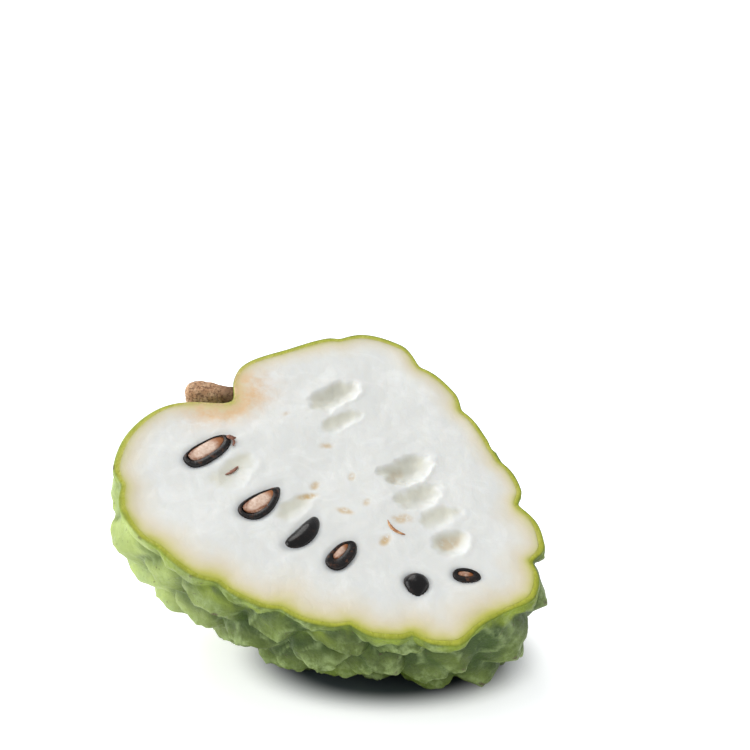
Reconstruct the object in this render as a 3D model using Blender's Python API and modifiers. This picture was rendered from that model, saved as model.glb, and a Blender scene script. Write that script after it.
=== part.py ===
"""Half a sugar apple, cut lengthwise and lying on its skin with the cut face up and leaning forward.

Lengths are in millimetres in the driving dimensions and in metres in the model. Every piece is
modelled in the fruit's own frame: the cut face is its XY plane, +Y runs to the stem, and the
body hangs below it. One empty then turns and lifts all of them into their resting place.
"""

import math

import bmesh
import bpy
import numpy as np
from mathutils import Matrix, Vector

MM = 0.001
CUT_SLACK = 1e-7
WELD_DISTANCE = 1e-5

# How the half lies: the face leans forward, turns to the right, and the stem points back left
FACE_LEAN = 27.0
FACE_TURN = 18.0
STEM_SPIN = 26.0
PRESSED_DEPTH = 3.0

# Radius of the cut outline about the middle of the face, without bumps. The first value is at
# the stem, then one every 20 degrees to the tip, down the right side and down the left side
RIM_STEP = 20.0
RIGHT_RADII = (46.5, 45.6, 49.6, 46.6, 40.6, 36.6, 37.5, 38.2, 41.6, 44.5)
LEFT_RADII = (46.5, 48.2, 52.0, 51.2, 45.2, 40.6, 38.8, 38.8, 40.6, 44.5)
BELLY_SWELL = 0.045

# The fruit is fullest at the tip, a little below the cut
SHOULDER_WAY = (0.24, -0.84, -0.44)
SHOULDER_HEIGHT = 11.5
SHOULDER_WIDTH = 25.0

# The hollow that the stem stands in
HOLLOW_WAY = (-6.2, 41.5, -2.8)
HOLLOW_DEPTH = 9.5
HOLLOW_WIDTH = 9.0

# Bumps of the skin: rows of knobs from stem to tip. Each row has its angle from the stem where the
# knife cut it on the right and on the left, its height at those two places, the gaps between its
# knobs in half a turn, and how far a knob reaches uphill, which is a long ridge next to the stem.
# A staggered row lies between each two of these rows
KNOB_ROWS = (
    (34, 47, 4.4, 4.6, 8, 25.0),
    (55, 70, 6.8, 4.4, 8, 13.0),
    (77, 87, 4.0, 3.8, 8, 12.0),
    (99, 108, 3.4, 3.0, 8, 11.5),
    (124, 130, 3.8, 2.8, 7, 11.0),
    (146, 152, 6.0, 4.2, 5, 9.5),
    (164, 166, 4.4, 6.2, 3, 7.0),
)
KNOB_HEIGHT = (3.3, 5.2)
KNOB_WIDTH = 5.4
KNOB_DOWNHILL = 4.6

# One knob more, below the cut on the left: angle from the stem, turn, height, reach and sway
EXTRA_KNOB = (66, 168, 6.6, 14.0, 0)

# How far a ridge's uphill end may stray sideways, and how much broader the knobs are at the cut
SWAY = 2.6
CUT_SOFTNESS = 0.35
SOFT_DEPTH = 0.25
NUB_SHARE = 0.3
NUB_SHARPNESS = 8.0
NUB_FADE = (0.02, 0.15)
RIDGE_POWER = 4
LEAST_NARROWING = 0.2
CREASE_POWER = 7
JITTER_ANGLE = 2.2
JITTER_TURN = 3.6
MEAN_RADIUS = 46.0
SEED_OF_DRAW = 7

# Wall of the skin, and the gap that it keeps to the flesh
SKIN_WALL = 1.2
GAP = 0.3
INNER_RELIEF = 0.85

# Seeds: place on the face, length, width, turn of the long axis, how much it narrows, height of
# the middle over the face, and how high the knife cut through it, or None for a whole seed
SEEDS = (
    ("seed_1", -20.2, 29.8, 14.2, 6.3, 5, 0.12, -0.7, 0.6),
    ("seed_2", -20.0, 9.7, 13.6, 6.3, 9, 0.40, -0.7, 0.6),
    ("seed_3", -18.0, -3.2, 12.2, 5.0, 15, 0.10, -0.8, None),
    ("seed_4", -15.1, -13.4, 10.2, 5.4, 15, 0.16, -0.5, 0.6),
    ("seed_5", -7.1, -30.1, 6.7, 6.0, -128, 0.20, -0.8, None),
    ("seed_6", 4.4, -34.9, 6.8, 4.5, -42, 0.10, -0.5, 0.4),
)
SEED_FLATNESS = 0.86
SEED_SEGMENTS = 12
SEED_RINGS = 8
COAT_WALL = 0.75

# Empty sockets that fallen seeds left in the face: place, length, width, turn and depth
SOCKETS = (
    (17.6, 26.4, 16.0, 7.0, 1, 2.4),
    (13.2, 18.8, 13.0, 4.4, -2, 1.0),
    (15.4, -2.6, 14.5, 8.2, -6, 2.6),
    (12.0, -10.8, 11.5, 6.8, -8, 1.6),
    (11.6, -18.4, 11.0, 5.8, -10, 0.9),
    (8.0, -25.6, 10.5, 6.4, -8, 1.8),
    (-19.2, 21.0, 15.0, 6.8, 12, 1.0),
    (-15.0, 3.8, 13.0, 5.2, 6, 1.0),
)
SOCKET_LIFT = 0.15
SOCKET_SEGMENTS = 16
SOCKET_RINGS = 10

# Stem stub: radius and height over its foot from the blunt end to the root, and its direction
STEM_OUTLINE = (
    (0, 11.6), (1.5, 11.3), (2.4, 10.7), (2.9, 9.6), (3.0, 8.0),
    (2.6, 5.0), (2.1, 2.0), (1.9, -2.0), (0, -2.0),
)
STEM_FOOT = (-2.1, 43.6, -3.5)
STEM_WAY = (-0.64, 0.75, -0.19)
STEM_SIDES = 14

# Grid of each face of the cube that becomes the skin and the flesh
CAGE_CUTS = 21

# Colour and roughness of each finish
FINISHES = {
    "skin": ((0.30, 0.46, 0.08), 0.5),
    "flesh": ((0.86, 0.87, 0.82), 0.35),
    "seed_coat": ((0.012, 0.010, 0.009), 0.22),
    "kernel": ((0.52, 0.33, 0.20), 0.6),
    "stem": ((0.36, 0.22, 0.13), 0.8),
}


def smooth_ring(values, position):
    """Catmull-Rom curve through the values of a closed ring, at a position counted in values."""
    count = len(values)
    index = np.floor(position).astype(int)
    part = position - index
    before, here, after, beyond = (values[(index + k) % count] for k in (-1, 0, 1, 2))
    return 0.5 * (
        2 * here
        + (after - before) * part
        + (2 * before - 5 * here + 4 * after - beyond) * part**2
        + (3 * here - before - 3 * after + beyond) * part**3
    )


def dome(directions, way, height, width):
    """A soft round rise about one direction, its width in degrees."""
    middle = np.array(way) / np.linalg.norm(way)
    off = np.degrees(np.arccos(np.clip(directions @ middle, -1, 1)))
    return height * np.exp(-((off / width) ** 2))


def base_radius(directions):
    """Radius of the fruit without bumps, in millimetres, for unit vectors in the fruit's frame."""
    x, y, z = directions.T
    from_stem = np.degrees(np.arccos(np.clip(y, -1, 1)))
    ring = np.array(RIGHT_RADII + LEFT_RADII[-2:0:-1])
    right = smooth_ring(ring, from_stem / RIM_STEP)
    left = smooth_ring(ring, (360 - from_stem) / RIM_STEP)
    side = x / np.maximum(np.hypot(x, z), CUT_SLACK)
    body = right * (1 + side) / 2 + left * (1 - side) / 2
    body *= 1 - z * BELLY_SWELL
    body += dome(directions, SHOULDER_WAY, SHOULDER_HEIGHT, SHOULDER_WIDTH)
    return body - dome(directions, HOLLOW_WAY, HOLLOW_DEPTH, HOLLOW_WIDTH)


def soft_step(values, low, high):
    """Smooth rise from 0 at the low value to 1 at the high one."""
    part = np.clip((values - low) / (high - low), 0, 1)
    return part * part * (3 - 2 * part)


def stray_knob(draw, angle, turn, reach):
    """A knob that strays from its place in the row, as what knob_list gives for each."""
    angle += draw.uniform(-JITTER_ANGLE, JITTER_ANGLE)
    turn += draw.uniform(-JITTER_TURN, JITTER_TURN)
    sway = draw.uniform(-SWAY, SWAY) / reach
    return angle, turn, draw.uniform(*KNOB_HEIGHT), reach, sway


def knob_list():
    """Each knob as its angle from the stem, its turn round the axis, its height, reach and sway."""
    draw = np.random.RandomState(SEED_OF_DRAW)
    knobs = []
    for row, (right, left, right_high, left_high, gaps, reach) in enumerate(KNOB_ROWS):
        knobs.append((right, 0, right_high, reach, 0))
        for k in range(1, gaps):
            angle = right + (left - right) * k / gaps
            knobs.append(stray_knob(draw, angle, 180 * k / gaps, reach))
        knobs.append((left, 180, left_high, reach, 0))
        if row + 1 == len(KNOB_ROWS):
            break
        next_right, next_left, *_, next_reach = KNOB_ROWS[row + 1]
        for k in range(gaps):
            share = (k + 0.5) / gaps
            angle = (right + next_right) / 2 * (1 - share) + (left + next_left) / 2 * share
            knobs.append(stray_knob(draw, angle, 180 * share, (reach + next_reach) / 2))
    return knobs + [EXTRA_KNOB]


def relief(directions):
    """Height of the knobs over the base, in millimetres: steep towards the tip, easy towards the stem."""
    total = np.zeros(len(directions))
    softness = 1 + CUT_SOFTNESS * soft_step(directions[:, 2], -SOFT_DEPTH, 0)
    nub = NUB_SHARE * soft_step(-directions[:, 2], *NUB_FADE)
    for angle, turn, high, reach, sway in knob_list():
        theta, phi = math.radians(angle), math.radians(turn)
        round_axis = np.array((math.cos(phi), 0, -math.sin(phi)))
        stemward = np.array((0, 1, 0))
        centre = math.sin(theta) * round_axis + math.cos(theta) * stemward
        downhill = math.cos(theta) * round_axis - math.sin(theta) * stemward
        along = np.arctan2(directions @ downhill, directions @ centre)
        across = MEAN_RADIUS * (directions @ np.cross(downhill, centre))
        narrowing = np.sin(np.clip(theta + np.minimum(along, 0), 0, math.pi)) / math.sin(theta)
        wide = KNOB_WIDTH * np.clip(narrowing, LEAST_NARROWING, 1)
        uphill = np.minimum(along, 0) * MEAN_RADIUS
        off = ((across + sway * uphill) / wide) ** 2 + (uphill / reach) ** RIDGE_POWER
        off += (np.maximum(along, 0) * MEAN_RADIUS / KNOB_DOWNHILL) ** 2
        off /= softness**2
        height = high * ((1 - nub) * np.exp(-off) + nub * np.exp(-NUB_SHARPNESS * off))
        total += height**CREASE_POWER
    return total ** (1 / CREASE_POWER)


def fruit_radius(directions, inset=0.0, share=1.0):
    """Radius of the fruit with its bumps, drawn in by an inset and with a share of the relief."""
    return base_radius(directions) + share * relief(directions) - inset


def turning():
    """Rotation from the fruit's frame to the room's."""
    return (
        Matrix.Rotation(math.radians(FACE_TURN), 4, "Z")
        @ Matrix.Rotation(math.radians(FACE_LEAN), 4, "X")
        @ Matrix.Rotation(math.radians(STEM_SPIN), 4, "Z")
    )


def round_cage(cuts):
    """A cube's faces cut into a grid and blown up to a unit sphere with even triangles."""
    cage = bmesh.new()
    bmesh.ops.create_cube(cage, size=2)
    bmesh.ops.subdivide_edges(cage, edges=cage.edges[:], cuts=cuts, use_grid_fill=True)
    for vertex in cage.verts:
        vertex.co = Vector([math.tan(c * math.pi / 4) for c in vertex.co]).normalized()
    bmesh.ops.triangulate(cage, faces=cage.faces[:])
    return cage


def shape_cage(cage, inset=0.0, share=1.0):
    """Moves the unit sphere's points out to the fruit's surface."""
    directions = np.array([v.co for v in cage.verts])
    radii = fruit_radius(directions, inset, share) * MM
    for vertex, radius in zip(cage.verts, radii):
        vertex.co *= radius


def cut_away(mesh, point, normal):
    """Cuts off what lies past a plane and closes each hole with a flat face."""
    everything = mesh.verts[:] + mesh.edges[:] + mesh.faces[:]
    bmesh.ops.bisect_plane(
        mesh, geom=everything, dist=CUT_SLACK, plane_co=point, plane_no=normal, clear_outer=True
    )
    open_edges = [e for e in mesh.edges if e.is_boundary]
    bmesh.ops.holes_fill(mesh, edges=open_edges, sides=0)
    bmesh.ops.recalc_face_normals(mesh, faces=mesh.faces[:])


def new_object(name, mesh, collection):
    data = bpy.data.meshes.new(name)
    mesh.to_mesh(data)
    mesh.free()
    data.shade_smooth()
    thing = bpy.data.objects.new(name, data)
    collection.objects.link(thing)
    return thing


def as_cutter(thing):
    thing.hide_render = True
    thing.display_type = "WIRE"
    return thing


def cut_with(thing, cutter):
    """Subtracts a cutter and bakes the result into the mesh."""
    boolean = thing.modifiers.new(cutter.name, "BOOLEAN")
    boolean.operation = "DIFFERENCE"
    boolean.solver = "EXACT"
    boolean.object = cutter
    evaluated = thing.evaluated_get(bpy.context.evaluated_depsgraph_get())
    data = bpy.data.meshes.new_from_object(evaluated)
    thing.modifiers.remove(boolean)
    thing.data = data


def paint(thing, name):
    colour, roughness = FINISHES[name]
    material = bpy.data.materials.get(name) or bpy.data.materials.new(name)
    material.use_nodes = True
    shader = material.node_tree.nodes["Principled BSDF"]
    shader.inputs["Base Color"].default_value = (*colour, 1)
    shader.inputs["Roughness"].default_value = roughness
    thing.data.materials.clear()
    thing.data.materials.append(material)


def resting_depth():
    """How far the pressed spot lies below the middle of the face, in metres."""
    cage = round_cage(CAGE_CUTS)
    shape_cage(cage)
    turn = turning()
    depth = -min((turn @ v.co).z for v in cage.verts if v.co.z <= 0)
    cage.free()
    return depth - PRESSED_DEPTH * MM


def press_flat(half, depth):
    """Flattens the fruit, or the room in it, where it rests."""
    down = turning().inverted() @ Vector((0, 0, -1))
    cut_away(half, down * depth, down)


def make_skin(parts, cutters, depth):
    """The bumpy green skin as a cup: the half fruit less the room that the flesh takes."""
    half = round_cage(CAGE_CUTS)
    shape_cage(half)
    cut_away(half, (0, 0, 0), (0, 0, 1))
    press_flat(half, depth)
    skin = new_object("skin", half, parts)
    room = round_cage(CAGE_CUTS)
    shape_cage(room, SKIN_WALL, INNER_RELIEF)
    press_flat(room, depth - SKIN_WALL * MM)
    cut_with(skin, as_cutter(new_object("flesh_room", room, cutters)))
    return skin


def make_flesh(parts, depth):
    """The white flesh that fills the skin, flush with it at the cut."""
    half = round_cage(CAGE_CUTS)
    shape_cage(half, SKIN_WALL + GAP, INNER_RELIEF)
    cut_away(half, (0, 0, 0), (0, 0, 1))
    press_flat(half, depth - (SKIN_WALL + GAP) * MM)
    return new_object("flesh", half, parts)


def seed_mesh(length, width, taper, swell=0.0):
    """A seed along X: an egg that narrows towards +X, made larger all round by the swell."""
    seed = bmesh.new()
    bmesh.ops.create_uvsphere(seed, u_segments=SEED_SEGMENTS, v_segments=SEED_RINGS, radius=1)
    bmesh.ops.rotate(seed, verts=seed.verts, matrix=Matrix.Rotation(math.pi / 2, 3, "Y"))
    for vertex in seed.verts:
        narrow = 1 - taper * vertex.co.x
        vertex.co.x *= length / 2 + swell
        vertex.co.y *= (width / 2) * narrow + swell
        vertex.co.z *= (width / 2) * SEED_FLATNESS * narrow + swell
    bmesh.ops.scale(seed, verts=seed.verts, vec=(MM, MM, MM))
    return seed


def seed_place(x, y, turn, height):
    """Where a seed lies in the fruit's frame."""
    return Matrix.Translation(Vector((x, y, height)) * MM) @ Matrix.Rotation(math.radians(turn), 4, "Z")


def make_seeds(parts, cutters, flesh):
    """The seeds along the cut, whole or cut open on their kernels, each in its own pit."""
    made = []
    for name, x, y, length, width, turn, taper, height, cut in SEEDS:
        place = seed_place(x, y, turn, height)
        pit = seed_mesh(length, width, taper, GAP)
        pit.transform(place)
        cut_with(flesh, as_cutter(new_object(name + "_pit", pit, cutters)))
        body = seed_mesh(length, width, taper)
        body.transform(place)
        if cut is not None:
            cut_away(body, (0, 0, cut * MM), (0, 0, 1))
        seed = new_object(name, body, parts)
        paint(seed, "seed_coat")
        made.append(seed)
        if cut is None:
            continue
        room = seed_mesh(length, width, taper, -COAT_WALL)
        room.transform(place)
        cut_with(seed, as_cutter(new_object(name + "_room", room, cutters)))
        inside = seed_mesh(length, width, taper, -COAT_WALL - GAP)
        inside.transform(place)
        cut_away(inside, (0, 0, cut * MM), (0, 0, 1))
        kernel = new_object(name.replace("seed", "kernel"), inside, parts)
        paint(kernel, "kernel")
        made.append(kernel)
    return made


def make_sockets(cutters, flesh):
    """The smooth hollows that fallen seeds left in the face."""
    for number, (x, y, length, width, turn, depth) in enumerate(SOCKETS, 1):
        hollow = bmesh.new()
        bmesh.ops.create_uvsphere(hollow, u_segments=SOCKET_SEGMENTS, v_segments=SOCKET_RINGS, radius=1)
        size = Vector((length / 2, width / 2, depth)) * MM
        bmesh.ops.scale(hollow, verts=hollow.verts, vec=size)
        hollow.transform(seed_place(x, y, turn, SOCKET_LIFT))
        cut_with(flesh, as_cutter(new_object(f"socket_{number}", hollow, cutters)))


def stem_object(name, collection, swell=0.0):
    """The stub of stalk, its outline turned round its axis."""
    outline = []
    for radius, height in STEM_OUTLINE:
        outline.append((radius and radius + swell, height + math.copysign(swell, height)))
    mesh = bpy.data.meshes.new(name)
    points = [(r * MM, 0, h * MM) for r, h in outline]
    mesh.from_pydata(points, [(i, i + 1) for i in range(len(points) - 1)], [])
    stem = bpy.data.objects.new(name, mesh)
    collection.objects.link(stem)
    turn = stem.modifiers.new("turn", "SCREW")
    turn.steps = turn.render_steps = STEM_SIDES
    turn.use_merge_vertices = True
    turn.merge_threshold = WELD_DISTANCE
    evaluated = stem.evaluated_get(bpy.context.evaluated_depsgraph_get())
    data = bpy.data.meshes.new_from_object(evaluated)
    stem.modifiers.clear()
    tilt = Vector((0, 0, 1)).rotation_difference(Vector(STEM_WAY))
    data.transform(Matrix.Translation(Vector(STEM_FOOT) * MM) @ tilt.to_matrix().to_4x4())
    stem.data = data
    return stem


def main():
    for thing in list(bpy.data.objects):
        bpy.data.objects.remove(thing)
    parts = bpy.data.collections.new("sugar_apple_half")
    cutters = bpy.data.collections.new("cutters")
    for collection in (parts, cutters):
        bpy.context.scene.collection.children.link(collection)

    depth = resting_depth()
    skin = make_skin(parts, cutters, depth)
    flesh = make_flesh(parts, depth)
    seeds = make_seeds(parts, cutters, flesh)
    make_sockets(cutters, flesh)
    hole = as_cutter(stem_object("stem_hole", cutters, GAP))
    cut_with(skin, hole)
    cut_with(flesh, hole)
    stem = stem_object("stem", parts)
    for thing in (skin, flesh, stem):
        paint(thing, thing.name)

    pieces = [skin, flesh, stem] + seeds
    turn = turning()
    corners = [turn @ v.co for thing in pieces for v in thing.data.vertices]
    lows = [min(c[i] for c in corners) for i in range(3)]
    highs = [max(c[i] for c in corners) for i in range(3)]
    rest = bpy.data.objects.new("resting_place", None)
    parts.objects.link(rest)
    rest.rotation_euler = turn.to_euler()
    rest.location = (-(lows[0] + highs[0]) / 2, -(lows[1] + highs[1]) / 2, -lows[2])
    for thing in pieces:
        thing.parent = rest


main()
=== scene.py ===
# Half a sugar apple on a pale table: the looks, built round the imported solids
import math

import bpy
import numpy as np
from mathutils import Matrix, Vector, noise


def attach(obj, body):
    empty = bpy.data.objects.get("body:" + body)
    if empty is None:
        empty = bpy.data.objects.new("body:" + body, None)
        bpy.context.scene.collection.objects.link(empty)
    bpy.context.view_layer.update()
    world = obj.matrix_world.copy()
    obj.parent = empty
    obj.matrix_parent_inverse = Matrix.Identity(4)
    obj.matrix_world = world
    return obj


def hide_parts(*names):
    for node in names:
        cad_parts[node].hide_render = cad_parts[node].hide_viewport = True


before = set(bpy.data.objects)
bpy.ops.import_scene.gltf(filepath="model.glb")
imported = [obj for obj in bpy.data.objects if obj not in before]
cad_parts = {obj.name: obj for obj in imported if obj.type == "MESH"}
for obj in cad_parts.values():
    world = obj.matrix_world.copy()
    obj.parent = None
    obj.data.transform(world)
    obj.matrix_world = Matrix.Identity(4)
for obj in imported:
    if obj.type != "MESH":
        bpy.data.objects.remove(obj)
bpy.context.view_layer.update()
mm = 0.001
weld = 0.00002
print("frame loaded:", len(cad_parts), "solids")


# the fruit's shape, in millimetres about the middle of the cut: +Y to the stem, body below

lie = {  # how the half lies on the table
    "lean": 27.0,
    "turn": 18.0,
    "spin": 26.0,
    "middle": (0.0057592, -0.0082722, 0.0421228),
}

shape = {
    "rimStep": 20.0,  # one radius every 20 degrees, from the stem to the tip
    "right": (46.5, 45.6, 49.6, 46.6, 40.6, 36.6, 37.5, 38.2, 41.6, 44.5),
    "left": (46.5, 48.2, 52.0, 51.2, 45.2, 40.6, 38.8, 38.8, 40.6, 44.5),
    "bellySwell": 0.045,
    "shoulder": ((0.24, -0.84, -0.44), 11.5, 25.0),  # way, height, width in degrees
    "hollow": ((-6.2, 41.5, -2.8), -9.5, 9.0),
    "wall": 1.2,
    "innerShare": 0.85,
    "gap": 0.3,
    "slack": 0.9,  # how much deeper the hidden sides lie, clear of the creases
}

knobs = {
    # angle right, angle left, height right, height left, gaps in half a turn, reach uphill
    "rows": (
        (34, 47, 4.4, 4.6, 8, 25.0),
        (55, 70, 6.8, 4.4, 8, 13.0),
        (77, 87, 4.0, 3.8, 8, 12.0),
        (99, 108, 3.4, 3.0, 8, 11.5),
        (124, 130, 3.8, 2.8, 7, 11.0),
        (146, 152, 6.0, 4.2, 5, 9.5),
        (164, 166, 4.4, 6.2, 3, 7.0),
    ),
    "height": (3.3, 5.2),
    "width": 5.4,
    "downhill": 4.6,
    "extra": (66, 168, 6.6, 14.0, 0),  # one more, below the cut on the left
    "sway": 2.6,  # how far a ridge's uphill end may stray sideways
    # a band is how far a point's way rises or dips from the cut while a form comes in
    "cutSoftness": 0.35,  # how much broader the knobs are at the cut
    "cutBand": (-0.25, 0.0),
    "nubShare": 0.3,
    "nubBand": (0.02, 0.15),
    "nubSharpness": 8.0,
    "ridgePower": 4,
    "leastNarrowing": 0.2,
    "creasePower": 7,
    "jitterAngle": 2.2,
    "jitterTurn": 3.6,
    "meanRadius": 46.0,
    "draw": 7,
    "scarSize": 0.8,
    "scarStep": 0.5,
    "leastScar": 0.2,
    "creaseWidth": 0.8,
    "creaseDepth": 0.8,
    "fineBand": (0.0, 0.05),
    "warpSize": 9.0,
    "warp": 3.4,
    "warpBand": (0.02, 0.2),
    "warpSeeds": (20.0, 40.0, 60.0),
    "foldSize": 6.5,
    "foldWidth": 0.16,
    "foldHeight": 0.5,
}

fruitPlace = (
    Matrix.Translation(Vector(lie["middle"]))
    @ Matrix.Rotation(math.radians(lie["turn"]), 4, "Z")
    @ Matrix.Rotation(math.radians(lie["lean"]), 4, "X")
    @ Matrix.Rotation(math.radians(lie["spin"]), 4, "Z")
)


def smoothRing(values, position):
    count = len(values)
    index = np.floor(position).astype(int)
    part = position - index
    before, here, after, beyond = (values[(index + k) % count] for k in (-1, 0, 1, 2))
    return 0.5 * (
        2 * here
        + (after - before) * part
        + (2 * before - 5 * here + 4 * after - beyond) * part**2
        + (3 * here - before - 3 * after + beyond) * part**3
    )


def softDome(ways, way, height, width):
    middle = np.array(way) / np.linalg.norm(way)
    off = np.degrees(np.arccos(np.clip(ways @ middle, -1, 1)))
    return height * np.exp(-((off / width) ** 2))


def bareRadius(ways):
    x, y, z = ways.T
    fromStem = np.degrees(np.arccos(np.clip(y, -1, 1)))
    ring = np.array(shape["right"] + shape["left"][-2:0:-1])
    right = smoothRing(ring, fromStem / shape["rimStep"])
    left = smoothRing(ring, (360 - fromStem) / shape["rimStep"])
    side = x / np.maximum(np.hypot(x, z), 1e-7)
    radius = right * (1 + side) / 2 + left * (1 - side) / 2
    radius *= 1 - z * shape["bellySwell"]
    return radius + softDome(ways, *shape["shoulder"]) + softDome(ways, *shape["hollow"])


def listKnobs():
    draw = np.random.RandomState(knobs["draw"])
    rows = knobs["rows"]
    made = []

    def stray(angle, turn, reach):
        angle += draw.uniform(-knobs["jitterAngle"], knobs["jitterAngle"])
        turn += draw.uniform(-knobs["jitterTurn"], knobs["jitterTurn"])
        twist = draw.uniform(-knobs["sway"], knobs["sway"]) / reach
        made.append((angle, turn, draw.uniform(*knobs["height"]), reach, twist))

    for row, (right, left, rightHigh, leftHigh, gaps, reach) in enumerate(rows):
        made.append((right, 0, rightHigh, reach, 0))
        for k in range(1, gaps):
            stray(right + (left - right) * k / gaps, 180 * k / gaps, reach)
        made.append((left, 180, leftHigh, reach, 0))
        if row + 1 == len(rows):
            break
        nextRight, nextLeft, *_, nextReach = rows[row + 1]
        for k in range(gaps):
            share = (k + 0.5) / gaps
            angle = (right + nextRight) / 2 * (1 - share) + (left + nextLeft) / 2 * share
            stray(angle, 180 * share, (reach + nextReach) / 2)
    return made + [knobs["extra"]]


def knobField(ways):
    # the knobs' relief at each point, and what the paint needs to know about the knob there
    draw = np.random.RandomState(knobs["draw"] + 1)
    power = knobs["creasePower"]
    total = np.full(len(ways), 1e-9)
    toneSum = np.zeros(len(ways))
    best = np.zeros(len(ways))
    second = np.zeros(len(ways))
    crest = np.zeros(len(ways))
    scar = np.zeros(len(ways))
    softness = 1 + knobs["cutSoftness"] * smoothStep(ways[:, 2], *knobs["cutBand"])
    nub = knobs["nubShare"] * smoothStep(-ways[:, 2], *knobs["nubBand"])
    for angle, turn, high, reach, twist in listKnobs():
        theta, phi = math.radians(angle), math.radians(turn)
        roundAxis = np.array((math.cos(phi), 0, -math.sin(phi)))
        stemward = np.array((0, 1, 0))
        centre = math.sin(theta) * roundAxis + math.cos(theta) * stemward
        downhill = math.cos(theta) * roundAxis - math.sin(theta) * stemward
        along = np.arctan2(ways @ downhill, ways @ centre)
        across = knobs["meanRadius"] * (ways @ np.cross(downhill, centre))
        narrowing = np.sin(np.clip(theta + np.minimum(along, 0), 0, math.pi)) / math.sin(theta)
        wide = knobs["width"] * np.clip(narrowing, knobs["leastNarrowing"], 1)
        along = along * knobs["meanRadius"]
        across = across + twist * np.minimum(along, 0)
        off = (across / wide) ** 2
        off += (np.minimum(along, 0) / reach) ** knobs["ridgePower"]
        off += (np.maximum(along, 0) / knobs["downhill"]) ** 2
        off /= softness**2
        height = high * ((1 - nub) * np.exp(-off) + nub * np.exp(-knobs["nubSharpness"] * off))
        total += height**power
        toneSum += draw.uniform(0, 1) * height**power
        second = np.maximum(second, np.minimum(best, height))
        crest = np.where(height > best, height / high, crest)
        best = np.maximum(best, height)
        near = np.exp(-((along - knobs["scarStep"]) ** 2 + across**2) / knobs["scarSize"] ** 2)
        scar = np.maximum(scar, near * draw.uniform(knobs["leastScar"], 1))
    crease = np.exp(-(((best - second) / knobs["creaseWidth"]) ** 2))
    return {
        "relief": total ** (1 / power),
        "tone": toneSum / total,
        "crease": crease,
        "crest": crest,
        "scar": scar,
    }


def wanderingWays(ways):
    # crooked outlines for the knobs, though none at the cut, where they follow the solid
    spots = ways * knobs["meanRadius"]
    drift = np.stack([lumps(spots, knobs["warpSize"], seed) for seed in knobs["warpSeeds"]], axis=1)
    share = knobs["warp"] / knobs["meanRadius"] * smoothStep(-ways[:, 2], *knobs["warpBand"])
    moved = ways + drift * share[:, None]
    return moved / np.linalg.norm(moved, axis=1)[:, None]


def foldLines(ways):
    # fine crooked ridges over the knobs: one at each line, falling to nothing beside it
    drift = lumps(ways * knobs["meanRadius"], knobs["foldSize"], knobs["foldSize"])
    return smoothStep(-np.abs(drift), -knobs["foldWidth"], 0)


def skinRadius(ways, field):
    # the outside of the rind: its creases, folds and lumps fade out towards the cut
    fade = smoothStep(-ways[:, 2], *knobs["fineBand"])
    radius = bareRadius(ways) + field["relief"] - knobs["creaseDepth"] * field["crease"] * fade
    fine = knobs["foldHeight"] * foldLines(ways)
    fine += layered(ways * knobs["meanRadius"], rindBuild["lumps"])
    return radius + fade * fine


def wallRadii(ways):
    # the knobs at each point, and the outside and the inside of the rind there
    field = knobField(wanderingWays(ways))
    outer = skinRadius(ways, field)
    return field, outer, outer - (1 - shape["innerShare"]) * field["relief"] - shape["wall"]


# helpers for meshes


def nothingSelected():
    bpy.ops.object.select_all(action="DESELECT")


def setMode(mode):
    bpy.ops.object.mode_set(mode=mode)


def selectAll():
    bpy.ops.mesh.select_all(action="SELECT")


def readPoints(piece):
    flat = np.zeros(len(piece.data.vertices) * 3)
    piece.data.vertices.foreach_get("co", flat)
    return flat.reshape(-1, 3)


def writePoints(piece, points):
    piece.data.vertices.foreach_set("co", np.asarray(points, float).ravel())
    piece.data.update()


def writeValues(piece, **values):
    for name, numbers in values.items():
        attribute = piece.data.attributes.new(name, "FLOAT", "POINT")
        attribute.data.foreach_set("value", np.asarray(numbers, np.float32))


def arc(first, last, count, radius=1.0):
    # corners on a circle about the origin, as radius and height, from one latitude to another
    latitudes = np.radians(np.linspace(first, last, count))
    return [(radius * math.cos(lat), radius * math.sin(lat)) for lat in latitudes]


def spinProfile(name, corners, sides):
    # a line drawn corner by corner from a single point, spun round the upright axis
    nothingSelected()
    bpy.ops.mesh.primitive_plane_add(size=1, location=(0, 0, 0))
    piece = bpy.context.active_object
    piece.name = piece.data.name = name
    bpy.context.tool_settings.mesh_select_mode = (True, False, False)
    setMode("EDIT")
    selectAll()
    bpy.ops.mesh.merge(type="CENTER")
    bpy.ops.transform.translate(value=(corners[0][0], 0, corners[0][1]))
    for now, wanted in zip(corners, corners[1:]):
        step = (wanted[0] - now[0], 0, wanted[1] - now[1])
        bpy.ops.mesh.extrude_region_move(TRANSFORM_OT_translate={"value": step})
    selectAll()
    bpy.ops.mesh.spin(steps=sides, angle=2 * math.pi, center=(0, 0, 0), axis=(0, 0, 1))
    selectAll()
    bpy.ops.mesh.remove_doubles(threshold=weld)
    bpy.ops.mesh.normals_make_consistent(inside=False)
    setMode("OBJECT")
    return piece


def selectFaces(piece, wanted):
    setMode("OBJECT")
    bpy.context.tool_settings.mesh_select_mode = (False, False, True)
    for parts in (piece.data.vertices, piece.data.edges):
        parts.foreach_set("select", np.zeros(len(parts), bool))
    for face in piece.data.polygons:
        face.select = wanted(face.center)
    setMode("EDIT")


# rind and pulp are each spun from one profile, whose radii tell its parts apart: the outside or
# the face at 1, each loop of the rim at one of its own, and the hidden inside at the least
shells = {
    "outerFrom": 0.99,
    "rim": 0.98,
    "rimStep": 0.01,
    "insideBelow": 0.6,
    "inside": 0.5,
    "insideLatitude": -4,
}


def spinShells(name, outside, build):
    corners = outside + [(shells["rim"] - shells["rimStep"] * k, 0) for k in range(len(build["rim"]))]
    corners += arc(shells["insideLatitude"], -90, build["innerRings"], shells["inside"])
    return spinProfile(name, corners, build["segments"])


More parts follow.
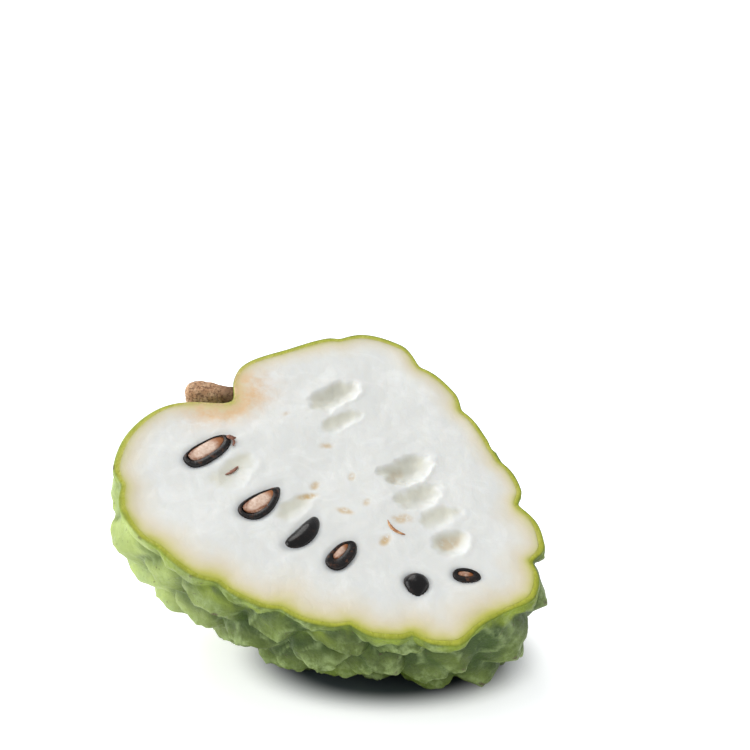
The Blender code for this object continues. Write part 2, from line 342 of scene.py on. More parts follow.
def readShells(piece, rim):
    # each point's way from the middle, if it is outside or inside, and its inset and rise on the rim
    points = readPoints(piece)
    size = np.linalg.norm(points, axis=1)
    number = np.round((shells["rim"] - size) / shells["rimStep"]).astype(int)
    inset, rise = np.array(rim)[np.clip(number, 0, len(rim) - 1)].T
    outside = size > shells["outerFrom"]
    inside = size < shells["insideBelow"]
    return points / size[:, None], outside, inside, inset, rise


def onTable(points, lowest):
    # fruit millimetres to the room, pressed flat where the fruit rests
    turn = np.array(fruitPlace)
    placed = points * mm @ turn[:3, :3].T + turn[:3, 3]
    placed[:, 2] = np.maximum(placed[:, 2], lowest * mm)
    return placed


def lumps(points, size, seed):
    return np.array([noise.noise(Vector(p) / size + Vector((seed, 0, 0))) for p in points])


def layered(points, layers):
    # lumps of several sizes together, each given with its height
    return sum(height * lumps(points, size, size) for size, height in layers)


def smoothStep(values, low, high):
    part = np.clip((values - low) / (high - low), 0, 1)
    return part * part * (3 - 2 * part)


def finishPiece(piece, material, slot, *nodes):
    nothingSelected()
    piece.select_set(True)
    bpy.context.view_layer.objects.active = piece
    bpy.ops.object.shade_smooth()
    piece.data.materials.clear()
    piece.data.materials.append(material)
    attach(piece, "root")
    if nodes:
        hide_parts(*nodes)


# helpers for materials


def picked(red, green, blue):
    # a colour as a picker shows it, from 0 to 255
    return tuple(((c / 255 + 0.055) / 1.055) ** 2.4 for c in (red, green, blue)) + (1.0,)


def connect(tree, node, inputs):
    for key, value in inputs.items():
        if isinstance(value, bpy.types.NodeSocket):
            tree.links.new(value, node.inputs[key])
        else:
            node.inputs[key].default_value = value


def addNode(tree, kind, inputs, **settings):
    made = tree.nodes.new("ShaderNode" + kind)
    for key, value in settings.items():
        setattr(made, key, value)
    connect(tree, made, inputs)
    return made


def newMaterial(name):
    material = bpy.data.materials.new(name)
    material.use_nodes = True
    tree = material.node_tree
    place = addNode(tree, "TexCoord", {}).outputs["Object"]
    return material, tree, place


def dressed(material, colour, rough, others):
    shader = material.node_tree.nodes["Principled BSDF"]
    connect(material.node_tree, shader, {"Base Color": colour, "Roughness": rough, **others})
    return material


def painted(tree, name):
    return addNode(tree, "Attribute", {}, attribute_name=name).outputs["Fac"]


def cloudy(tree, place, scale, detail=3.0, rough=0.5, warp=0.0):
    inputs = {"Vector": place, "Scale": scale, "Detail": detail, "Roughness": rough, "Distortion": warp}
    return addNode(tree, "TexNoise", inputs).outputs["Fac"]


def reckon(tree, operation, first, second=0.0, third=0.0):
    inputs = {0: first, 1: second, 2: third}
    return addNode(tree, "Math", inputs, operation=operation).outputs["Value"]


def product(tree, first, *others):
    for other in others:
        first = reckon(tree, "MULTIPLY", first, other)
    return first


def spread(tree, value, low, high, start=0.0, end=1.0):
    inputs = {"Value": value, "From Min": low, "From Max": high, "To Min": start, "To Max": end}
    return addNode(tree, "MapRange", inputs, interpolation_type="SMOOTHSTEP").outputs[0]


def mixed(tree, share, first, second, blend="MIX"):
    # the node has a set of sockets for each type of data, and those for colours are 6, 7 and 2
    inputs = {0: share, 6: first, 7: second}
    made = addNode(tree, "Mix", inputs, data_type="RGBA", blend_type=blend)
    return made.outputs[2]


def laidOver(tree, colour, over, *shares):
    # as much of the second colour over the first as the product of the shares
    return mixed(tree, product(tree, *shares), colour, over)


def ramp(tree, value, stops):
    made = addNode(tree, "ValToRGB", {"Fac": value})
    elements = made.color_ramp.elements
    while len(elements) < len(stops):
        elements.new(0.5)
    for element, (position, colour) in zip(elements, stops):
        element.position = position
        element.color = colour
    return made.outputs["Color"]


def bumped(tree, height, strength, distance, under=None):
    inputs = {"Height": height, "Strength": strength, "Distance": distance}
    if under is not None:
        inputs["Normal"] = under
    return addNode(tree, "Bump", inputs).outputs["Normal"]


# the looks below hold noise as (scale, detail, roughness, warp), or only the first of these


def patches(tree, place, look):
    # noise, and how much of it shows: from, to, least and most
    clouds, levels = look
    return spread(tree, cloudy(tree, place, *clouds), *levels)


def dented(tree, place, look, under=None):
    # noise, how strong the dents are and how deep in metres
    clouds, strength, distance = look
    return bumped(tree, cloudy(tree, place, *clouds), strength, distance, under)


def swayed(tree, place, look, value):
    # noise, and how far it moves a value in all, to either side
    clouds, far = look
    middle = reckon(tree, "SUBTRACT", cloudy(tree, place, *clouds), 0.5)
    return reckon(tree, "MULTIPLY_ADD", middle, far, value)


def moist(specular, share, reach, scale):
    # how strongly the surface mirrors, and how much light gets under it, by colour and how far
    keys = ("Specular IOR Level", "Subsurface Weight", "Subsurface Radius", "Subsurface Scale")
    return dict(zip(keys, (specular, share, reach, scale)))


# the cut: one paint for the rind's edge and the pulp, so they run into each other

cutPaint = {
    # how far in from the skin in millimetres, and the colour there
    "span": 9.0,
    "stops": (
        (0.0, (132, 142, 34)),
        (0.6, (170, 174, 50)),
        (1.3, (192, 188, 92)),
        (2.0, (208, 199, 140)),
        (2.8, (216, 206, 168)),
        (4.0, (221, 212, 190)),
        (6.0, (223, 219, 207)),
        (9.0, (222, 222, 217)),
    ),
    "peach": picked(221, 186, 142),
    "tan": picked(202, 174, 128),
    "wander": ((260, 3), 1.2),  # noise shifts the bands by millimetres, and makes them wider
    "stretch": ((70, 2), 0.9),
    "blotch": ((340, 4, 0.65), (0.25, 0.7, 0.25, 1.0)),
    # the green edge is broadest towards the viewer: that way, the least width and what is added
    "viewerWay": (-0.69, -0.72),
    "edgeWidth": (0.8, 0.5),
    "edgeBand": (-0.3, 0.9),
    # the flesh turns peach where the air gets at it, round the notch of the stem
    "notch": (-5.0, 41.0),
    "notchSize": (9.5, 6.0),
    "notchStrength": 2.2,
}


def rimWidth(ways):
    least, more = cutPaint["edgeWidth"]
    near = ways[:, :2] @ np.array(cutPaint["viewerWay"])
    return least + more * smoothStep(near, *cutPaint["edgeBand"])


def browning(points):
    off = (points[:, :2] - cutPaint["notch"]) / cutPaint["notchSize"]
    return np.clip(cutPaint["notchStrength"] * np.exp(-(off**2).sum(axis=1)), 0, 1)


def cutColour(tree, place):
    distance = swayed(tree, place, cutPaint["wander"], painted(tree, "rimDistance"))
    distance = product(tree, distance, swayed(tree, place, cutPaint["stretch"], 1.0))
    stops = [(inward / cutPaint["span"], picked(*values)) for inward, values in cutPaint["stops"]]
    colour = ramp(tree, reckon(tree, "DIVIDE", distance, cutPaint["span"]), stops)
    blotch = patches(tree, place, cutPaint["blotch"])
    return laidOver(tree, colour, cutPaint["peach"], painted(tree, "browned"), blotch)


# rind

rindBuild = {
    "segments": 420,
    "rings": 118,
    "topLatitude": 1.15,
    "innerRings": 24,
    # rounded outer edge, cut band and inner edge: how far in, how high
    "rim": (
        (0.0, -0.62), (0.0, -0.34), (0.05, -0.14), (0.18, -0.03), (0.36, 0.0),
        (0.62, 0.03), (0.90, 0.03), (1.16, 0.0), (1.20, -0.05), (1.24, -0.25), (1.24, -0.9),
    ),
    "cutFrom": (0.05, 0.3),  # how far in the paint of the cut begins
    "lumps": ((7.0, 0.7), (2.6, 0.42), (1.1, 0.14)),  # size and height in millimetres
}


def makeRind():
    rind = spinShells("rind", arc(-90, -rindBuild["topLatitude"], rindBuild["rings"]), rindBuild)
    ways, outside, inside, inset, rise = readShells(rind, rindBuild["rim"])
    rim = ~outside & ~inside
    field, outer, inner = wallRadii(ways)
    rimRadius = outer + (inner - outer) * inset / shape["wall"]
    radius = np.where(outside, outer, np.where(inside, inner - shape["slack"], rimRadius))
    placed = ways * radius[:, None]
    placed[rim, 2] = rise[rim]

    inward = np.where(rim, inset, np.where(inside, shape["wall"], 0))
    writeValues(
        rind,
        rimDistance=inward / rimWidth(ways),
        browned=browning(placed),
        depth=np.where(outside, -placed[:, 2], 0),
        cut=np.where(outside, 0, smoothStep(inset, *rindBuild["cutFrom"])),
        fold=foldLines(ways),
        turnwise=np.arctan2(-ways[:, 2], ways[:, 0]) * knobs["meanRadius"],
        stemwise=np.arccos(np.clip(ways[:, 1], -1, 1)) * knobs["meanRadius"],
        **{name: field[name] for name in ("tone", "crease", "crest", "scar")},
    )
    writePoints(rind, onTable(placed, np.where(inside, shape["wall"] + shape["slack"], 0)))
    return rind


rindPaint = {
    "shade": picked(48, 65, 14),
    "green": picked(102, 120, 42),
    "lime": picked(142, 160, 38),
    "fresh": picked(128, 146, 34),
    "bloomAndHighlight": picked(154, 173, 112),
    "pale": picked(186, 203, 118),
    "deep": picked(50, 74, 14),
    "scar": picked(70, 50, 30),
    "clouds": {
        "body": ((115, 5, 0.6), (0.3, 0.7, 0.0, 0.5)),
        "pale": ((110, 4, 0.6), (0.3, 0.7, 0.6, 1.0)),
        "seam": ((85, 2), (0.48, 0.58)),
        "bloomAndHighlight": ((190, 5, 0.7), (0.44, 0.64)),
        "fold": ((240, 3, 0.6), (0.4, 0.62, 0.0, 0.7)),
        "rim": ((100, 3, 0.6), (0.42, 0.62, 0.1, 0.9)),
        "speck": ((900, 2, 0.5), (0.68, 0.74, 0.0, 0.5)),
        "rough": ((300, 4, 0.6), (0.3, 0.7, 0.42, 0.62)),
    },
    # how much shows, by the height on a knob, the millimetres below the cut or the scar
    "levels": {
        "crestLit": ("crest", 0.2, 0.9, 0.0, 0.5),
        "low": ("crest", 0.6, 0.15, 0.0, 0.8),
        "seamHeight": ("crest", 0.9, 0.3),
        "seamDepth": ("depth", 1.5, 9.0, 0.9, 0.1),
        "crestHighlight": ("crest", 0.45, 0.9),
        "rimDepth": ("depth", 0.4, 3.4, 1.0, 0.0),
        "scar": ("scar", 0.35, 0.8, 0.0, 0.8),
    },
    "leftLitSide": (-0.016, -0.050, 0.0, 0.9),  # by X in metres
    "streaks": ((0.9, 4, 0.65), (0.3, 0.7)),
    "tone": (0.45, 0.74),  # how much the knobs differ, and the darkest
    "toneShare": 0.8,
    "streakSlope": 0.22,
    "streakShare": 0.2,
    "creaseShadeShare": 0.7,
    "bloomAndHighlightShare": 0.7,
    "pores": ((1500, 3, 0.6), 0.35, 0.0002),
    "streakDents": (0.2, 0.0002),
    "ripples": ((330, 5, 0.6), 0.7, 0.0013),
    "surface": moist(0.35, 0.05, (1.0, 1.0, 0.3), 0.002),
}


def makeRindMaterial():
    material, tree, place = newMaterial("greenRind")
    look = rindPaint
    cloud = {name: patches(tree, place, values) for name, values in look["clouds"].items()}
    level = {
        name: spread(tree, painted(tree, source), *values)
        for name, (source, *values) in look["levels"].items()
    }
    # painted shade and light: darker low on each knob and lighter up on its crest, mottled by noise
    body = reckon(tree, "ADD", cloud["body"], level["crestLit"])
    colour = mixed(tree, body, look["shade"], look["green"])
    tone = reckon(tree, "MULTIPLY_ADD", painted(tree, "tone"), *look["tone"])
    grey = addNode(tree, "CombineColor", {0: tone, 1: tone, 2: tone}).outputs[0]
    colour = mixed(tree, look["toneShare"], colour, grey, "MULTIPLY")

    # fine streaks that run from the stem to the tip
    down = product(tree, painted(tree, "stemwise"), look["streakSlope"])
    inputs = {0: painted(tree, "turnwise"), 1: down}
    streakPlace = addNode(tree, "CombineXYZ", inputs).outputs[0]
    streaks = patches(tree, streakPlace, look["streaks"])
    colour = laidOver(tree, colour, look["deep"], streaks, look["streakShare"])

    # painted light: paler towards the left, where the left lamp falls, in patches
    along = addNode(tree, "SeparateXYZ", {0: place}).outputs["X"]
    side = spread(tree, along, *look["leftLitSide"])
    colour = laidOver(tree, colour, look["pale"], side, cloud["pale"])

    # painted shade: deep green between the knobs and low on each knob, with lime in some seams near the
    # cut
    crease = product(tree, painted(tree, "crease"), look["creaseShadeShare"])
    low = reckon(tree, "MAXIMUM", crease, level["low"])
    colour = mixed(tree, low, colour, look["deep"])
    seam = product(tree, cloud["seam"], level["seamHeight"], level["seamDepth"])
    colour = mixed(tree, seam, colour, look["lime"])

    # grey waxy bloom with a painted highlight on the crests and along the folds
    bloomAndHighlight = product(tree, cloud["bloomAndHighlight"], level["crestHighlight"])
    folds = product(tree, painted(tree, "fold"), cloud["fold"])
    bloomAndHighlight = reckon(tree, "MAXIMUM", bloomAndHighlight, folds)
    colour = laidOver(tree, colour, look["bloomAndHighlight"], bloomAndHighlight, look["bloomAndHighlightShare"])

    colour = laidOver(tree, colour, look["fresh"], level["rimDepth"], cloud["rim"])
    colour = mixed(tree, cloud["speck"], colour, look["scar"])
    colour = mixed(tree, level["scar"], colour, look["scar"])
    colour = mixed(tree, painted(tree, "cut"), colour, cutColour(tree, place))
    lines = bumped(tree, streaks, *look["streakDents"], dented(tree, place, look["pores"]))
    ripples = dented(tree, place, look["ripples"], lines)
    return dressed(material, colour, cloud["rough"], {"Normal": ripples, **look["surface"]})


# seeds and sockets: where they lie on the cut, in millimetres

seedKeys = ("at", "long", "wide", "turn", "middle", "cut", "taper", "full", "bend", "opening")
seeds = {
    # place, length, width, turn, height of the middle and of the cut, how it narrows and how full
    # its blunt and narrow ends are, bend, and the opening: shares of length and width, shift,
    # and how brown the kernel is
    "1": ((-20.2, 29.8), 14.2, 6.3, 5, -0.7, 0.6, 0.12, (2.8, 2.3), 0.2, (0.86, 0.70, -0.1, 0.5, 0.0)),
    "2": ((-20.0, 9.7), 13.6, 6.3, 9, -0.7, 0.6, 0.40, (2.3, 1.9), 0.7, (0.86, 0.70, -0.1, 0.4, 0.1)),
    "3": ((-18.0, -3.2), 12.2, 5.0, 15, -0.8, None, 0.10, (2.5, 2.2), 1.0, None),
    "4": ((-15.1, -13.4), 10.2, 5.4, 15, -0.5, 0.6, 0.16, (2.3, 2.2), 0.0, (0.62, 0.40, 0.4, 0.7, 0.5)),
    "5": ((-7.1, -30.1), 6.7, 6.0, -128, -0.8, None, 0.20, (2.2, 1.6), 0.0, None),
    "6": ((4.4, -34.9), 6.8, 4.3, -42, -0.5, 0.4, 0.10, (2.3, 2.2), 0.0, (0.62, 0.42, -0.3, 0.25, 0.8)),
}
seeds = {name: dict(zip(seedKeys, values)) for name, values in seeds.items()}

seedFlatness = 0.86

sockets = (  # x, y, length, width, turn, depth
    (17.6, 26.4, 17.0, 8.0, 1, 1.8),
    (13.2, 18.8, 14.0, 5.4, -2, 0.6),
    (15.4, -2.6, 15.5, 9.6, -6, 2.0),
    (12.0, -10.8, 12.5, 8.4, -8, 1.1),
    (11.6, -18.4, 12.0, 7.0, -10, 0.6),
    (8.0, -25.6, 11.5, 7.6, -8, 1.3),
    (-19.2, 21.0, 16.0, 8.4, 12, 0.5),
    (-15.0, 3.8, 14.0, 6.4, 6, 0.5),
)

flecks = (  # x, y, length, width, turn, strength: ends of the cut fibres round the core
    (3.7, -13.5, 4.8, 2.8, -30, 0.8),
    (-3.8, -16.0, 3.4, 2.2, 20, 1.0),
    (-10.0, 5.0, 4.4, 1.7, -20, 1.0),
    (-6.3, 6.5, 3.2, 1.9, 30, 0.8),
    (-5.6, -3.9, 3.8, 1.8, -60, 0.8),
    (0.2, -4.6, 3.2, 1.9, 20, 0.6),
    (2.7, 3.4, 2.2, 1.4, 40, 0.5),
    (3.1, 28.6, 2.2, 1.6, 0, 0.55),
    (4.2, 14.7, 3.4, 1.7, -35, 0.7),
    (8.0, -25.0, 6.4, 3.2, -10, 0.55),
    (13.0, -1.6, 5.0, 2.6, 10, 0.3),
)


def ownAxes(x, y, at, turn):
    # a point's place along and across a seed, socket or fleck
    turn = math.radians(turn)
    along = (x - at[0]) * math.cos(turn) + (y - at[1]) * math.sin(turn)
    across = -(x - at[0]) * math.sin(turn) + (y - at[1]) * math.cos(turn)
    return along, across


# pulp

faceForm = {
    # in shares of a socket's, seed's or fleck's half size, but for depths, gaps and widths in
    # millimetres: a side is how far over to the near side of a socket a thing comes in
    "ragged": ((2.2, 5.0, 0.18), (6.0, 9.0, 0.26)),  # size, draw and share of the outlines' noise
    "socketTaper": 0.16,
    "socketPower": 2.4,
    "socketSlope": (1.9, 0.7),  # on the far side, and how much softer on the near one
    "socketSide": (-0.6, 0.9),
    # how the sockets' greyer flesh and painted shade fill the bowl and lean to one side
    "greyAndShadeDepth": (0.0, 0.6),
    "greyAndShadeSide": (-0.9, 0.3),
    # a raised lip along part of a socket's edge, painted white there as a highlight
    "lipHeight": 0.3,
    "lipWidth": 0.16,
    "lipLean": 0.8,
    "lipSide": (0.0, 1.4),
    "lipDepth": 2,  # how deep a socket is that has a full lip
    "pitEdge": (0.84, 0.72),
    "pitGap": 0.25,
    "bendReach": 1.1,
    "dip": (0.16, 0.8),  # depth and width of the soft dip round a seed
    # a grey rim round each seed: the dark seed showing through the flesh, with painted shade, more on
    # the blunt end's side
    "haloWidth": 0.6,
    "haloLean": 0.2,
    "haloSide": (-0.6, 1.0),
    "haloShare": (0.12, 0.4),  # everywhere, and added on the blunt end's side
    "fleckRagged": 1.8,
    "fleckEdge": (1.5, 0.3),
    "fleckDepth": 0.15,
}


def faceField(x, y):
    # height over the cut and paint, for points on the face
    form = faceForm
    hollow, socket, lipAndHighlight, seenSeedAndShade, fleck = np.zeros((5, len(x)))
    flat = np.stack((x, y, np.zeros(len(x))), axis=1)
    ragged = sum(share * lumps(flat, size, draw) for size, draw, share in form["ragged"])
    power = form["socketPower"]
    farSlope, easing = form["socketSlope"]
    for *at, long, wide, turn, deep in sockets:
        along, across = ownAxes(x, y, at, turn)
        part = along / (long / 2)
        side = across / (wide / 2 * (1 - form["socketTaper"] * np.clip(part, -1, 1)))
        off = (np.abs(part) ** power + np.abs(side) ** power) ** (1 / power) + ragged
        bowl = np.clip(1 - off**2, 0, 1)
        steep = farSlope - easing * smoothStep(side, *form["socketSide"])
        hollow = np.maximum(hollow, deep * bowl**steep)
        # the socket's greyer, translucent flesh with painted shade: darker deep in the bowl and towards
        # one side
        greyAndShade = smoothStep(bowl, *form["greyAndShadeDepth"]) * smoothStep(side, *form["greyAndShadeSide"])
        socket = np.maximum(socket, greyAndShade)
        # a raised lip round part of the socket's edge, which the paint turns white as a painted
        # highlight
        edge = np.exp(-(((off - 1) / form["lipWidth"]) ** 2)) * min(deep / form["lipDepth"], 1)
        lipAndHighlight = np.maximum(lipAndHighlight, edge * smoothStep(part * form["lipLean"] - side, *form["lipSide"]))
    reach = form["bendReach"]
    dipDepth, dipWidth = form["dip"]
    least, more = form["haloShare"]
    for seed in seeds.values():
        along, across = ownAxes(x, y, seed["at"], seed["turn"])
        part = along / (seed["long"] / 2)
        half = seed["wide"] / 2 * (1 - seed["taper"] * np.clip(part, -1, 1))
        across = across - seed["bend"] * (np.clip(part, -reach, reach) ** 2 - 0.5)
        off = np.hypot(part, across / half)
        under = half * seedFlatness * np.sqrt(np.clip(1 - off**2, 0, 1)) - seed["middle"]
        hollow = np.maximum(hollow, smoothStep(off, *form["pitEdge"]) * (under + form["pitGap"]))
        outward = np.maximum((off - 1) * half, 0)
        hollow = np.maximum(hollow, dipDepth * np.exp(-((outward / dipWidth) ** 2)))
        # the dark seed showing through the flesh, and painted shade round it
        side = smoothStep(-part - across / half * form["haloLean"], *form["haloSide"])
        near = np.exp(-((outward / form["haloWidth"]) ** 2))
        seenSeedAndShade = np.maximum(seenSeedAndShade, near * (least + more * side))
    for *at, long, wide, turn, strength in flecks:
        along, across = ownAxes(x, y, at, turn)
        off = np.hypot(along / (long / 2), across / (wide / 2)) + form["fleckRagged"] * ragged
        fleck = np.maximum(fleck, strength * smoothStep(off, *form["fleckEdge"]))
    height = form["lipHeight"] * lipAndHighlight - hollow - form["fleckDepth"] * fleck
    return height, {"socket": socket, "seenSeedAndShade": seenSeedAndShade, "fleck": fleck, "lipAndHighlight": lipAndHighlight}


pulpBuild = {
    "segments": 440,
    "rings": 113,
    "innerRings": 24,
    # the pulp laps a hair over the rind's cut, then drops inside it: how far in, how high
    "face": (1.08, 0.05),
    "rim": ((1.0, 0.05), (0.96, 0.03), (1.0, -0.03), (1.25, -0.2), (1.45, -0.8)),
    "lumps": ((16.0, 0.4), (6.0, 0.13), (2.2, 0.06)),
    "lumpsFrom": (1.3, 5.0),  # how far in the lumps come up
    "outlineStep": 0.5,
}


def fromOutline(points):
    # how far in from the fruit's outline each point of the cut lies
    turns = np.radians(np.arange(0, 360, pulpBuild["outlineStep"]))
    ways = np.stack((np.cos(turns), np.sin(turns), np.zeros(len(turns))), axis=1)
    outline = ways * (bareRadius(ways) + knobField(ways)["relief"])[:, None]
    distance = np.full(len(points), np.inf)
    for x, y, _ in outline:
        distance = np.minimum(distance, np.hypot(points[:, 0] - x, points[:, 1] - y))
    return distance


def makePulp():
    pulp = spinShells("pulp", arc(90, 0, pulpBuild["rings"]), pulpBuild)
    ways, face, inside, inset, rise = readShells(pulp, pulpBuild["rim"])
    rim = ~face & ~inside
    level = ways.copy()
    level[~inside, 2] = 0
    level /= np.maximum(np.linalg.norm(level, axis=1), 1e-9)[:, None]
    _, outer, inner = wallRadii(level)
    faceInset, faceLift = pulpBuild["face"]
    edge = outer + (inner - outer) * faceInset / shape["wall"]
    rimRadius = outer + (inner - outer) * inset / shape["wall"]
    share = 1 - np.degrees(np.arcsin(np.clip(ways[:, 2], 0, 1))) / 90
    hidden = inner - shape["slack"] - shape["gap"]
    radius = np.where(face, edge * share, np.where(inside, hidden, rimRadius))
    placed = level * radius[:, None]
    placed[rim, 2] = rise[rim]

    onFace = placed[face]
    height, marks = faceField(onFace[:, 0], onFace[:, 1])
    distance = fromOutline(onFace)
    calm = smoothStep(distance, *pulpBuild["lumpsFrom"])
    placed[face, 2] = height + calm * layered(onFace, pulpBuild["lumps"]) + faceLift

    inward = np.full(len(placed), shape["wall"])
    inward[face] = distance
    writeValues(pulp, rimDistance=inward / rimWidth(level), browned=browning(placed))
    for name, values in marks.items():
        whole = np.zeros(len(placed))
        whole[face] = values
        writeValues(pulp, **{name: whole})
    lowest = np.where(inside, shape["wall"] + shape["slack"] + shape["gap"], 0)
    writePoints(pulp, onTable(placed, lowest))
    return pulp


pulpPaint = {
    # the grey of the sockets' flesh, with painted shade in it
    "hollow": picked(208, 205, 184),
    "seenSeedAndShade": picked(116, 119, 124),
    "white": picked(235, 235, 231),
    "clots": ((150, 4, 0.6, 0.8), (0.45, 0.7, 0.0, 0.5)),
    "fibres": ((900, 3, 0.6), (0.2, 0.55)),
    "rough": ((240, 4, 0.6), (0.3, 0.7, 0.34, 0.55)),
    "clotsFrom": (5.0, 9.0),  # how far in from the skin
    "socketShadeShare": 0.7,
    "lipHighlightShare": 0.8,
    "grain": ((1100, 3, 0.6), 0.2, 0.00015),
    "clotDents": ((260, 4, 0.55, 0.8), 0.25, 0.0005),
    "surface": moist(0.4, 0.25, (1.0, 0.8, 0.6), 0.003),
}


def makePulpMaterial():
    material, tree, place = newMaterial("whitePulp")
    look = pulpPaint
    clots = patches(tree, place, look["clots"])
    inward = spread(tree, painted(tree, "rimDistance"), *look["clotsFrom"])
    colour = laidOver(tree, cutColour(tree, place), look["white"], clots, inward)
    # greyer in the sockets: translucent flesh with painted shade
    colour = laidOver(tree, colour, look["hollow"], painted(tree, "socket"), look["socketShadeShare"])
    # painted highlight: white on the sockets' lips
    colour = laidOver(tree, colour, look["white"], painted(tree, "lipAndHighlight"), look["lipHighlightShare"])
    fibres = patches(tree, place, look["fibres"])
    colour = laidOver(tree, colour, cutPaint["tan"], painted(tree, "fleck"), fibres)
    # grey round the seeds: the dark seed showing through, with painted shade
    colour = mixed(tree, painted(tree, "seenSeedAndShade"), colour, look["seenSeedAndShade"])
    dents = dented(tree, place, look["clotDents"], dented(tree, place, look["grain"]))
    rough = patches(tree, place, look["rough"])
    return dressed(material, colour, rough, {"Normal": dents, **look["surface"]})


# seeds

seedBuild = {
    "segments": 64,
    "rings": 40,
    "lumps": (0.6, 0.05),  # size and height, as shares of half the seed
    "joined": 0.003,  # corners nearer than this become one at the cut
    "cutSlack": 0.002,
    "lipDrop": 0.45,
    "lipShares": (0.96, 0.94),
    "bowlDepth": 1.5,
    "bowlShares": (0.6, 0.5),
    "edge": 0.1,
    "edgeSteps": 2,
    "edgeAngle": 35,
    "bareEdge": (0.4, 0.1),  # how far below the cut the coat begins to look bare, and is so
    "kernelGap": 0.05,
    "kernelSunk": 0.16,
    "kernelDepth": 1.2,
    "kernelDome": 0.25,
    "kernelRings": 9,
    "kernelLumps": (1.4, 0.07),
    "kernelEdge": (0.72, 1.0),  # where its brown edge begins and is full, as a share of its size
    "leastCut": 0.1,
    "topSlack": 0.01,  # how far below its flat top a corner of the kernel still belongs to it
}


def addBall(name, segments, rings):
    # a ball with its poles along X
    nothingSelected()
    bpy.ops.mesh.primitive_uv_sphere_add(
        segments=segments, ring_count=rings, radius=1, rotation=(0, math.pi / 2, 0), calc_uvs=False
    )
    ball = bpy.context.active_object
    ball.name = ball.data.name = name
    bpy.ops.object.transform_apply(location=False, rotation=True, scale=False)
    return ball


def addEgg(name, seed, long, wide, thick):
    # a ball drawn out to an egg that narrows towards +X
    egg = addBall(name, seedBuild["segments"], seedBuild["rings"])
    lumpSize, lumpHeight = seedBuild["lumps"]
    points = readPoints(egg)
    part = np.clip(points[:, 0], -1, 1)
    power = np.where(part < 0, *seed["full"])
    fuller = (1 - np.abs(part) ** power) ** (1 / power) / np.sqrt(np.maximum(1 - part**2, 1e-6))
    around = fuller * (1 - seed["taper"] * part) * (1 + lumpHeight * lumps(points, lumpSize, long))
    points[:, 0] *= long / 2
    points[:, 1] = points[:, 1] * wide / 2 * around + seed["bend"] * (part**2 - 0.5)
    points[:, 2] *= thick / 2 * around
    writePoints(egg, points)
    return egg


def sliceTop(piece, height):
    setMode("EDIT")
    selectAll()
    bpy.ops.mesh.bisect(plane_co=(0, 0, height), plane_no=(0, 0, 1), clear_outer=True, use_fill=True)
    selectAll()
    bpy.ops.mesh.remove_doubles(threshold=seedBuild["joined"])
    selectFaces(piece, lambda middle: middle.z > height - seedBuild["cutSlack"])


def stepInward(shareLong, shareWide, sink, shift=(0, 0)):
    # a ring inside the selected face, and the face sunk by so much
    bpy.ops.mesh.extrude_region_move(TRANSFORM_OT_translate={"value": (*shift, -sink)})
    bpy.ops.transform.resize(value=(shareLong, shareWide, 1))


def placeSeed(piece, seed, shift=(0, 0, 0)):
    own = Matrix.Translation(Vector((*seed["at"], seed["middle"])) * mm)
    own = own @ Matrix.Rotation(math.radians(seed["turn"]), 4, "Z")
    own = own @ Matrix.Translation(Vector(shift) * mm) @ Matrix.Scale(mm, 4)
    piece.data.transform(fruitPlace @ own)


def makeCoat(name, seed):
    thick = seed["wide"] * seedFlatness
    coat = addEgg("seedCoat" + name, seed, seed["long"], seed["wide"], thick)
    if seed["opening"]:
        shareLong, shareWide, *shift, _ = seed["opening"]
        sliceTop(coat, seed["cut"] - seed["middle"])
        stepInward(shareLong, shareWide, 0, shift)
        stepInward(*seedBuild["lipShares"], seedBuild["lipDrop"])
        stepInward(*seedBuild["bowlShares"], seedBuild["bowlDepth"] - seedBuild["lipDrop"])
        setMode("OBJECT")
        bevel = coat.modifiers.new("softEdge", "BEVEL")
        bevel.width = seedBuild["edge"]
        bevel.segments = seedBuild["edgeSteps"]
        bevel.limit_method = "ANGLE"
        bevel.angle_limit = math.radians(seedBuild["edgeAngle"])
        bpy.ops.object.modifier_apply(modifier="softEdge")
    heights = readPoints(coat)[:, 2]
    cutEdge = np.zeros(len(heights))
    if seed["opening"]:
        begins, full = (heights.max() - below for below in seedBuild["bareEdge"])
        cutEdge = smoothStep(heights, begins, full)
    writeValues(coat, cutEdge=cutEdge)
    placeSeed(coat, seed)
    return coat


def makeKernel(name, seed):
    shareLong, shareWide, *shift, brown = seed["opening"]
    top = seed["cut"] - seed["middle"]
    share = 1 - (top / (seed["wide"] * seedFlatness / 2)) ** 2
    atCut = math.sqrt(max(share, seedBuild["leastCut"]))
    long = seed["long"] * atCut * shareLong - 2 * seedBuild["kernelGap"]
    wide = seed["wide"] * atCut * shareWide - 2 * seedBuild["kernelGap"]
    kernel = addEgg("kernel" + name, seed, long, wide, 2 * seedBuild["kernelDepth"])
    sliceTop(kernel, 0)
    rings = seedBuild["kernelRings"]
    for ring in range(rings):
        share = (rings - ring) / (rings + 1 - ring)
        stepInward(share, share, -seedBuild["kernelDome"] / rings * (rings - ring) * 2 / rings)
    bpy.ops.mesh.poke()
    setMode("OBJECT")
    points = readPoints(kernel)
    lumpSize, lumpHeight = seedBuild["kernelLumps"]
    onTop = points[:, 2] > -seedBuild["topSlack"]
    points[:, 2] += onTop * lumpHeight * lumps(points, lumpSize, seed["long"])
    writePoints(kernel, points)
    off = np.hypot(points[:, 0] / long, points[:, 1] / wide) * 2
    edge = smoothStep(off, *seedBuild["kernelEdge"])
    tip = np.clip(points[:, 0] / long + 0.5, 0, 1)
    writeValues(kernel, tip=tip, brown=brown + (1 - brown) * edge)
    placeSeed(kernel, seed, (*shift, top - seedBuild["kernelSunk"]))
    return kernel


